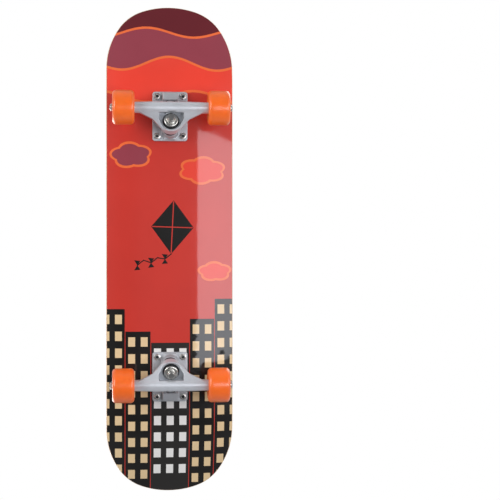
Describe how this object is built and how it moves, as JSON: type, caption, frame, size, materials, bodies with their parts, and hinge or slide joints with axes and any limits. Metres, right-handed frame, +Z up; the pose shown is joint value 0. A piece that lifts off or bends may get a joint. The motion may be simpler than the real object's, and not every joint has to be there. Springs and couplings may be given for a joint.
{
  "type": "skateboard",
  "caption": "Street skateboard: kicked maple deck with grip tape, two steering trucks on rubber bushings and soft-shouldered wheels on ball bearings.",
  "frame": {"origin": "on the ground under the middle of the board", "axes": "+X towards the nose, +Y to the left, +Z up"},
  "size_m": [0.7868, 0.2032, 0.1311],
  "materials": {
    "maple": "satin lacquer",
    "grip": "coarse grit",
    "cast_alloy": "satin cast",
    "cup_plastic": "matte",
    "steel": "machined",
    "bright_steel": "zinc plated",
    "bushing_rubber": "satin urethane",
    "black_steel": "black oxide",
    "spacer_alloy": "turned",
    "urethane": "cast urethane",
    "shield_black": "rubber seal"
  },
  "bodies": {
    "board": {"deck": "maple", "grip_tape": "grip", "front_baseplate": "cast_alloy", "front_pivot_cup": "cup_plastic", "front_kingpin": "steel", "front_kingpin_nut": "steel", "front_board_bushing": "bushing_rubber", "front_road_bushing": "bushing_rubber", "front_board_cup_washer": "bright_steel", "front_road_cup_washer": "bright_steel", "front_deck_bolts": "black_steel", "front_deck_nuts": "bright_steel", "rear_baseplate": "cast_alloy", "rear_pivot_cup": "cup_plastic", "rear_kingpin": "steel", "rear_kingpin_nut": "steel", "rear_board_bushing": "bushing_rubber", "rear_road_bushing": "bushing_rubber", "rear_board_cup_washer": "bright_steel", "rear_road_cup_washer": "bright_steel", "rear_deck_bolts": "black_steel", "rear_deck_nuts": "bright_steel"},
    "front_truck": {"front_hanger": "cast_alloy", "front_axle": "steel", "front_speed_washers": "bright_steel", "front_axle_nuts": "bright_steel", "front_inner_races": "steel", "front_bearing_spacers": "spacer_alloy"},
    "front_left_wheel": {"front_left_wheel": "urethane", "front_left_outer_races": "steel", "front_left_bearing_shields": "shield_black"},
    "front_left_balls": {"front_left_bearing_balls": "bright_steel"},
    "front_right_wheel": {"front_right_wheel": "urethane", "front_right_outer_races": "steel", "front_right_bearing_shields": "shield_black"},
    "front_right_balls": {"front_right_bearing_balls": "bright_steel"},
    "rear_truck": {"rear_hanger": "cast_alloy", "rear_axle": "steel", "rear_speed_washers": "bright_steel", "rear_axle_nuts": "bright_steel", "rear_inner_races": "steel", "rear_bearing_spacers": "spacer_alloy"},
    "rear_left_wheel": {"rear_left_wheel": "urethane", "rear_left_outer_races": "steel", "rear_left_bearing_shields": "shield_black"},
    "rear_left_balls": {"rear_left_bearing_balls": "bright_steel"},
    "rear_right_wheel": {"rear_right_wheel": "urethane", "rear_right_outer_races": "steel", "rear_right_bearing_shields": "shield_black"},
    "rear_right_balls": {"rear_right_bearing_balls": "bright_steel"}
  },
  "joints": [
    {"name": "front_steer", "type": "hinge", "parent": "board", "child": "front_truck", "pos_m": [0.19745, 0, 0.045], "axis": [0.8777, 0, 0.4792], "range_deg": [-12, 12], "stiffness_Nm_per_rad": 60, "deforming": ["front_board_bushing", "front_road_bushing"]},
    {"name": "front_left_spin", "type": "hinge", "parent": "front_truck", "child": "front_left_wheel", "pos_m": [0.22075, 0.0745, 0.027], "axis": [0, 1, 0], "continuous": true},
    {"name": "front_left_ball_roll", "type": "hinge", "parent": "front_truck", "child": "front_left_balls", "pos_m": [0.22075, 0.0745, 0.027], "axis": [0, 1, 0], "continuous": true},
    {"name": "front_right_spin", "type": "hinge", "parent": "front_truck", "child": "front_right_wheel", "pos_m": [0.22075, -0.0745, 0.027], "axis": [0, 1, 0], "continuous": true},
    {"name": "front_right_ball_roll", "type": "hinge", "parent": "front_truck", "child": "front_right_balls", "pos_m": [0.22075, -0.0745, 0.027], "axis": [0, 1, 0], "continuous": true},
    {"name": "rear_steer", "type": "hinge", "parent": "board", "child": "rear_truck", "pos_m": [-0.1897, 0, 0.045], "axis": [-0.8777, 0, 0.4792], "range_deg": [-12, 12], "stiffness_Nm_per_rad": 60, "deforming": ["rear_board_bushing", "rear_road_bushing"]},
    {"name": "rear_left_spin", "type": "hinge", "parent": "rear_truck", "child": "rear_left_wheel", "pos_m": [-0.213, 0.0745, 0.027], "axis": [0, 1, 0], "continuous": true},
    {"name": "rear_left_ball_roll", "type": "hinge", "parent": "rear_truck", "child": "rear_left_balls", "pos_m": [-0.213, 0.0745, 0.027], "axis": [0, 1, 0], "continuous": true},
    {"name": "rear_right_spin", "type": "hinge", "parent": "rear_truck", "child": "rear_right_wheel", "pos_m": [-0.213, -0.0745, 0.027], "axis": [0, 1, 0], "continuous": true},
    {"name": "rear_right_ball_roll", "type": "hinge", "parent": "rear_truck", "child": "rear_right_balls", "pos_m": [-0.213, -0.0745, 0.027], "axis": [0, 1, 0], "continuous": true}
  ],
  "couplings": [
    {"joint": "front_left_ball_roll", "follows": "front_left_spin", "ratio": 0.632},
    {"joint": "front_right_ball_roll", "follows": "front_right_spin", "ratio": 0.632},
    {"joint": "rear_left_ball_roll", "follows": "rear_left_spin", "ratio": 0.632},
    {"joint": "rear_right_ball_roll", "follows": "rear_right_spin", "ratio": 0.632}
  ]
}
